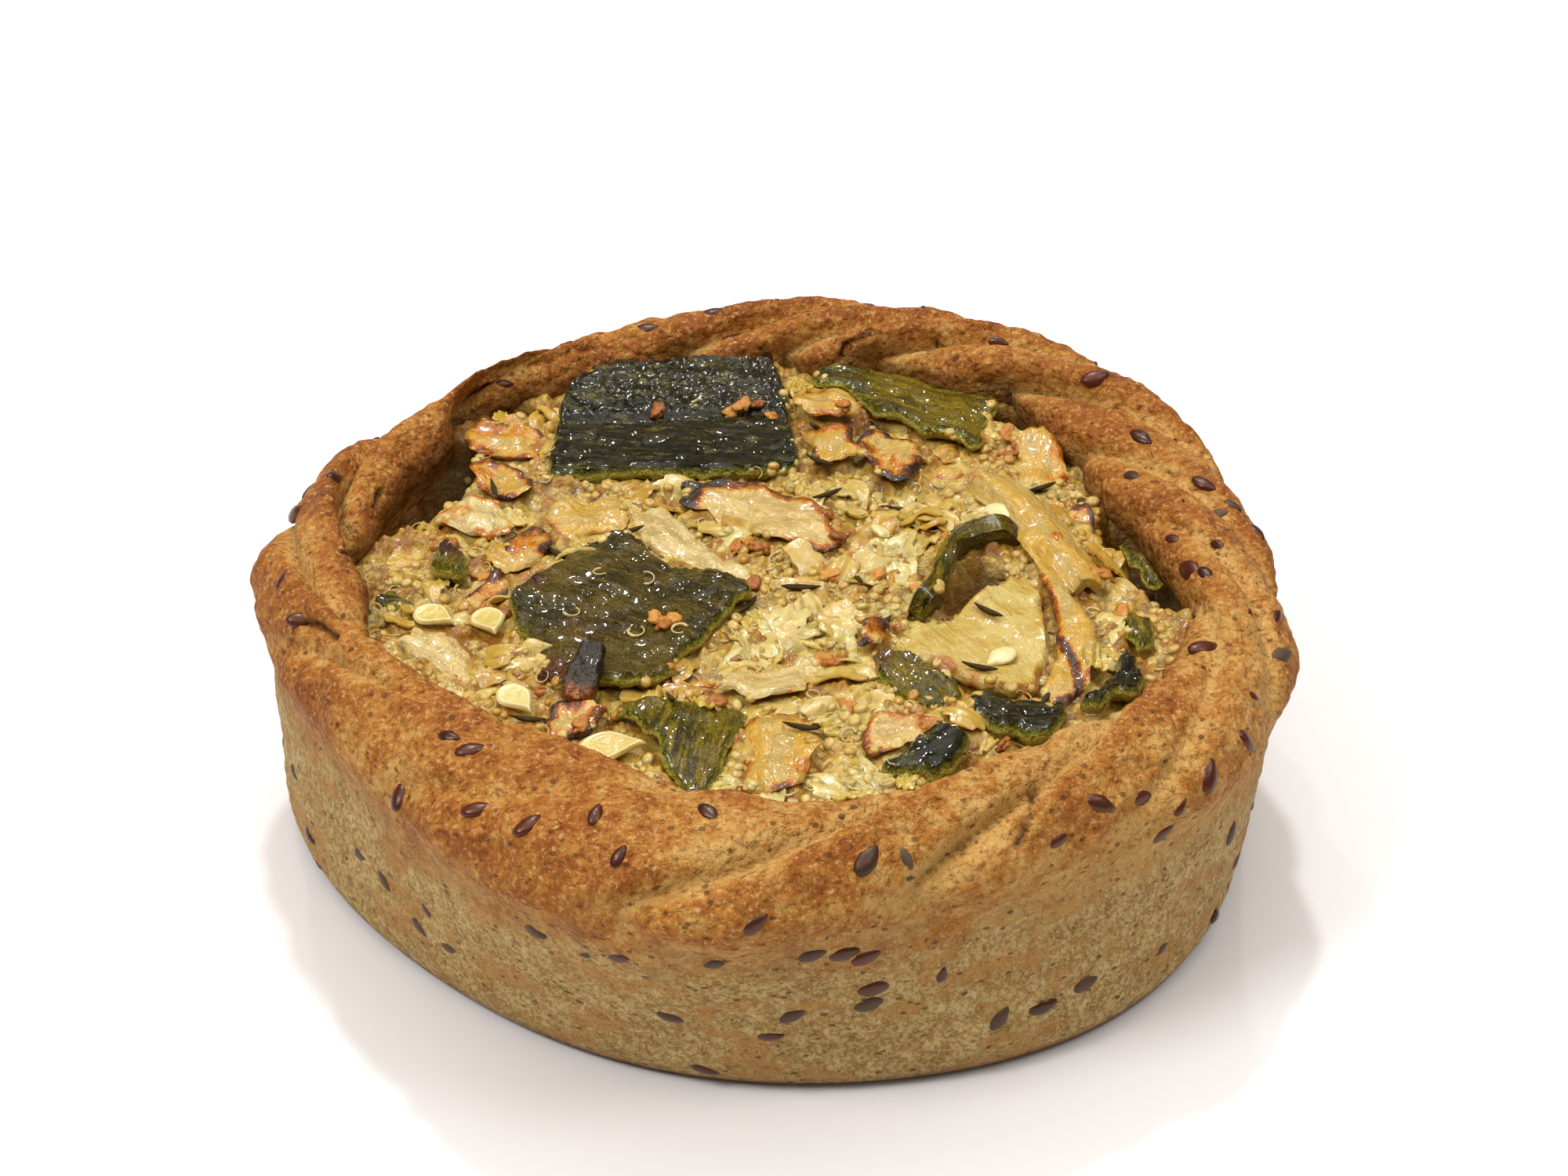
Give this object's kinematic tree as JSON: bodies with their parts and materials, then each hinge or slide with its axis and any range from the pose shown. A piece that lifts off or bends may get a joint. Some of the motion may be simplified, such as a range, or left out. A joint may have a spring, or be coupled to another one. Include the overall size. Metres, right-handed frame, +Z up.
{
  "type": "zucchini quinoa tart",
  "caption": "Small round savoury tart: flax-seed pastry cup with a twisted rope rim, quinoa and onion filling, baked zucchini and onion pieces on top.",
  "frame": {"origin": "middle of the tart's outline, on the surface it stands on", "axes": "+Z up, -Y towards the side that the picture shows as the front, +X to the right seen from the front"},
  "size_m": [0.13, 0.1359, 0.0393],
  "materials": {
    "crust": "baked wholemeal pastry, golden brown, darker and reddish on the crest, with bran specks and dark flax seeds",
    "filling": "moist quinoa and onion mash, pale straw yellow, with golden toasted grains and dark thyme leaves",
    "zucchini_skin": "roast zucchini skin, black green and wrinkled, wet gloss",
    "zucchini_olive": "roast zucchini skin, olive green, wet gloss",
    "zucchini_flesh": "cooked zucchini flesh, pale yellow green, half clear",
    "onion": "cooked onion, pale straw, half clear and fibrous",
    "onion_browned": "browned onion, amber to dark brown at its edges",
    "zucchini_seed": "baked zucchini seed, cream yellow",
    "charred": "charred onion strip, purple black"
  },
  "bodies": {
    "root": {"crust": "crust", "filling": "filling", "onion_brown_edge": "onion", "onion_brown_top": "onion_browned", "onion_burnt_tip": "onion", "onion_caramel": "onion_browned", "onion_charred_arc": "onion_browned", "onion_charred_front": "onion_browned", "onion_charred_stick": "charred", "onion_clear": "onion", "onion_crisp": "onion_browned", "onion_crumpled": "onion", "onion_flat": "onion", "onion_folded": "onion", "onion_front_browned": "onion_browned", "onion_leaf": "onion", "onion_left": "onion", "onion_left_browned": "onion_browned", "onion_long": "onion", "onion_orange_edge": "onion", "onion_pale": "onion", "onion_right": "onion", "onion_right_tip": "onion_browned", "onion_ring": "onion_browned", "onion_sheet_lower": "onion", "onion_sheet_upper": "onion_browned", "zucchini_back_left": "zucchini_skin", "zucchini_back_right": "zucchini_olive", "zucchini_chunk": "zucchini_skin", "zucchini_curl": "zucchini_olive", "zucchini_edge_front_right": "zucchini_olive", "zucchini_edge_left": "zucchini_olive", "zucchini_edge_right": "zucchini_olive", "zucchini_front": "zucchini_olive", "zucchini_left": "zucchini_skin", "zucchini_nub": "zucchini_olive", "zucchini_seed_1": "zucchini_seed", "zucchini_seed_2": "zucchini_seed", "zucchini_seed_3": "zucchini_seed", "zucchini_seed_4": "zucchini_seed", "zucchini_slice": "zucchini_flesh", "zucchini_slice_skin_front": "zucchini_olive", "zucchini_slice_skin_left": "zucchini_olive", "zucchini_slice_skin_right": "zucchini_skin"}
  },
  "joints": []
}
